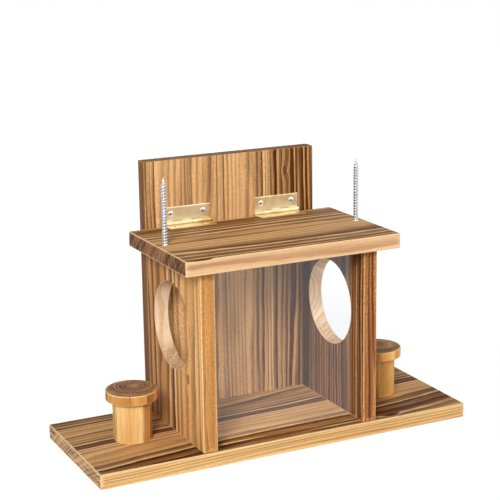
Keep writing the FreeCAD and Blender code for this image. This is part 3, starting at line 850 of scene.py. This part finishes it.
# Hinge pins. Drawn wire, cut to the hinge's length, with rounded ends.
WIRE_ROOM, WIRE_EASING = 0.02, 0.4
pin_wire = grained("drawn_wire", (90.0, 2500.0, 2500.0), tone(206, 186, 138), tone(168, 148, 104), 0.25,
                   metallic=1.0)
for side in ("left", "right"):
    low, high = piece_box(f"hinge_{side}_pin")
    radii, heights = rounded_profile(PIN_RADIUS - WIRE_ROOM, low[0], high[0], WIRE_EASING,
                                     flat_rings=2, side_rows=20)
    points, faces = turned(radii, heights, 24)
    points = points[:, (2, 0, 1)] + (0, *((low + high) / 2)[1:])
    wire = new_piece(f"{side}_hinge_wire", points, faces, pin_wire)
    shade(wire)
    finish_piece(wire, "box", "pin_steel", f"hinge_{side}_pin")


# Screws. Bright nickel-plated screws hold the hinges, and zinc-plated ones come up through the
# base, through the back board and up through the roof, where the points stand free as spikes.
THREAD_DEPTH, CREST_WIDTH = 0.3, 0.62
RECESS_LENGTH, RECESS_WIDTH, RECESS_DEPTH, RECESS_TAPER = 0.42, 0.11, 0.45, 0.6


def screw_shape(head, shank, thread, length, plain, pitch, dome):
    """A pointed screw below its head's rim. The radius against the depth is a low dome, a cone, a
    plain shank and a threaded part that ends in a point. The thread is a ridge whose height
    depends on the depth over the pitch less the turn: a triangle wave with a sharp crest."""
    point = thread * 3
    dome_turn = np.linspace(0.08, 1, 6)
    threaded = np.arange(-plain, -length + 0.2, -pitch / 9)
    heights = np.concatenate((dome * (1 - dome_turn ** 2), (shank - head,), threaded, (-length,)))
    known = (-length, point - length, -plain - 0.01, -plain, shank - head)
    radii = np.concatenate((head * dome_turn, np.interp((shank - head, *threaded, -length), known,
                                                         (0.1, thread, thread, shank, shank))))

    def ridge(height, angle):
        turn = (height / pitch - angle / (2 * math.pi)) % 1.0
        crest = np.clip(1 - np.abs(2 * turn - 1) / CREST_WIDTH, 0, 1)
        on = np.clip((-plain - height) / pitch, 0, 1)
        return 1 - THREAD_DEPTH * on * (1 - crest)
    return turned(radii, heights, ROUND_COLUMNS, ridge)


def metal(name, bright, dull, roughness):
    """Plated steel: fine plating grain and faint dull patches."""
    material, tree, shader = new_material(name)
    place = object_place(tree)
    patches = noise(tree, place, (700.0, 700.0, 700.0), 4.0)
    connect(tree, blend(tree, patches.rise(0.4, 0.7), bright, dull), shader.inputs["Base Color"])
    connect(tree, patches * 0.2 + (roughness - 0.1), shader.inputs["Roughness"])
    shader.inputs["Metallic"].default_value = 1.0
    return material


nickel = metal("bright_nickel", tone(248, 247, 243), tone(226, 223, 216), 0.32)
zinc = metal("zinc_plate", tone(206, 208, 212), tone(160, 162, 166), 0.34)
# The cross recesses are coloured near black: painted shade in the hollow of each screw head.
recess_shade = grained("recess_painted_shade", (3000.0, 3000.0, 3000.0), tone(34, 32, 30), tone(70, 66, 60), 0.45,
                       metallic=0.6)


def cross_recess(head, top):
    """Two crossed wedges, narrower at the bottom, to cut a cross recess."""
    cutters = []
    faces = [(3, 2, 1, 0), (4, 5, 6, 7), (0, 1, 5, 4), (1, 2, 6, 5), (2, 3, 7, 6), (3, 0, 4, 7)]
    for half_x, half_y in ((RECESS_LENGTH, RECESS_WIDTH), (RECESS_WIDTH, RECESS_LENGTH)):
        corners = [(x * head * half_x * taper, y * head * half_y * taper, height)
                   for height, taper in ((-head * RECESS_DEPTH, RECESS_TAPER), (top + 0.4, 1.0))
                   for x, y in ((-1, -1), (1, -1), (1, 1), (-1, 1))]
        cutters.append(new_piece("recess", corners, faces, recess_shade))
    return cutters


def screw_kind(name, material, head, shank, thread, length, plain, pitch, dome=0.0):
    """One finished screw at the origin, as a mesh to be copied."""
    pattern = new_piece(name, *screw_shape(head, shank, thread, length, plain, pitch, dome), material)
    cut_away(pattern, cross_recess(head, dome))
    shade(pattern, 35)
    mesh = pattern.data
    bpy.data.objects.remove(pattern)
    return mesh


def set_screws(name, node, facing, head, pattern, body, slot):
    """Copies of one screw, turned and moved to a node's places and joined into one piece."""
    turn = Matrix(SCREW_FACING[facing].tolist()).to_4x4()
    screws = []
    for place in screw_places(node, facing, head):
        screw = bpy.data.objects.new(name, pattern.copy())
        screw.data.transform(Matrix.Translation(Vector(place) * MM) @ turn)
        scene.collection.objects.link(screw)
        screws.append(screw)
    if len(screws) > 1:
        with bpy.context.temp_override(active_object=screws[0], selected_editable_objects=screws):
            bpy.ops.object.join()
    finish_piece(screws[0], body, slot, node)


hinge_screw = screw_kind("hinge_screw", nickel, HINGE_HEAD, HINGE_SHANK, HINGE_SHANK,
                         length=12.0, plain=3.0, pitch=1.1, dome=0.45)
wood_screw = screw_kind("wood_screw", zinc, WOOD_HEAD, WOOD_SHANK, WOOD_SHANK,
                        length=35.0, plain=12.0, pitch=1.8)
seat_screw = screw_kind("seat_screw", zinc, WOOD_HEAD, WOOD_SHANK, WOOD_SHANK,
                        length=63.0, plain=40.0, pitch=1.8)
feed_spike = screw_kind("feed_spike", zinc, SPIKE_HEAD, SPIKE_SHANK, 3.0, length=80.0, plain=15.0, pitch=2.8)
for side in ("left", "right"):
    for name, node, *how in (
        ("hinge_board_screws", f"hinge_{side}_board_screws", "front", HINGE_HEAD, hinge_screw,
         "box", "screw_nickel"),
        ("hinge_roof_screws", f"hinge_{side}_roof_screws", "up", HINGE_HEAD, hinge_screw,
         "lid", "screw_nickel"),
        ("base_screws", f"panel_screws_{side}", "down", WOOD_HEAD, wood_screw, "box", "screw_zinc"),
        ("back_screws", f"back_screws_{side}", "back", WOOD_HEAD, wood_screw, "box", "screw_zinc"),
        ("stool_screw", f"seat_screw_{side}", "down", WOOD_HEAD, seat_screw, "box", "screw_zinc"),
        ("spike", f"feed_spike_{side}", "down", SPIKE_HEAD, feed_spike, "lid", "spike_steel"),
    ):
        set_screws(f"{side}_{name}", node, *how)


# Studio. A plain white floor that keeps a soft shadow, a broad lamp above the front left, a
# weaker one on the right, and a white surround that polished parts can reflect.
FLOOR_SIZE = 6.0
SHADOW_START, SHADOW_END = 0.3, 0.7
LAMP_AIM = Vector((0, 0, 0.12))


def shown_white(tree):
    """1 for a ray from the camera, off a polished part or through a clear one, and 0 for others."""
    path = add_node(tree, "ShaderNodeLightPath").outputs
    seen = Signal(path["Is Camera Ray"]).math("MAXIMUM", path["Is Glossy Ray"])
    return seen.math("MAXIMUM", path["Is Transmission Ray"])


floor_material, tree, shader = new_material("white_floor")
shader.inputs["Base Color"].default_value = (0.86, 0.86, 0.86, 1)
shader.inputs["Roughness"].default_value = 0.9
glow = add_node(tree, "ShaderNodeEmission", {"Color": (1, 1, 1, 1), "Strength": 1.1}).outputs[0]
spot = object_place(tree)
far = Signal(add_node(tree, "ShaderNodeVectorMath", {0: spot}, operation="LENGTH").outputs["Value"])
whiteness = shown_white(tree) * (far.rise(SHADOW_START, SHADOW_END) * 0.16 + 0.84)
show_mixed(tree, whiteness, shader.outputs[0], glow)
half = FLOOR_SIZE / MM / 2
floor = new_piece("studio_floor", ((-half, -half, 0), (half, -half, 0), (half, half, 0), (-half, half, 0)),
                  [(0, 1, 2, 3)], floor_material)

world = bpy.data.worlds.new("studio")
scene.world = world
world.use_nodes = True
tree = world.node_tree
dim = tree.nodes["Background"]
dim.inputs["Color"].default_value = (1, 1, 1, 1)
dim.inputs["Strength"].default_value = 0.32
white = add_node(tree, "ShaderNodeBackground", {"Color": (1, 1, 1, 1), "Strength": 1.0}).outputs[0]
show_mixed(tree, shown_white(tree), dim.outputs[0], white, "World Output")

for name, place, size, power in (
    ("key_lamp", (-1.55, -1.96, 1.49), 0.68, 60.0),
    ("fill_lamp", (1.4, -1.2, 0.9), 1.2, 6.0),
):
    lamp = bpy.data.lights.new(name, "AREA")
    lamp.size, lamp.energy = size, power
    lamp_object = bpy.data.objects.new(name, lamp)
    turn = (Vector(place) - LAMP_AIM).to_track_quat("Z", "Y").to_matrix().to_4x4()
    lamp_object.matrix_world = Matrix.Translation(place) @ turn
    scene.collection.objects.link(lamp_object)

scene.view_settings.view_transform = "Standard"
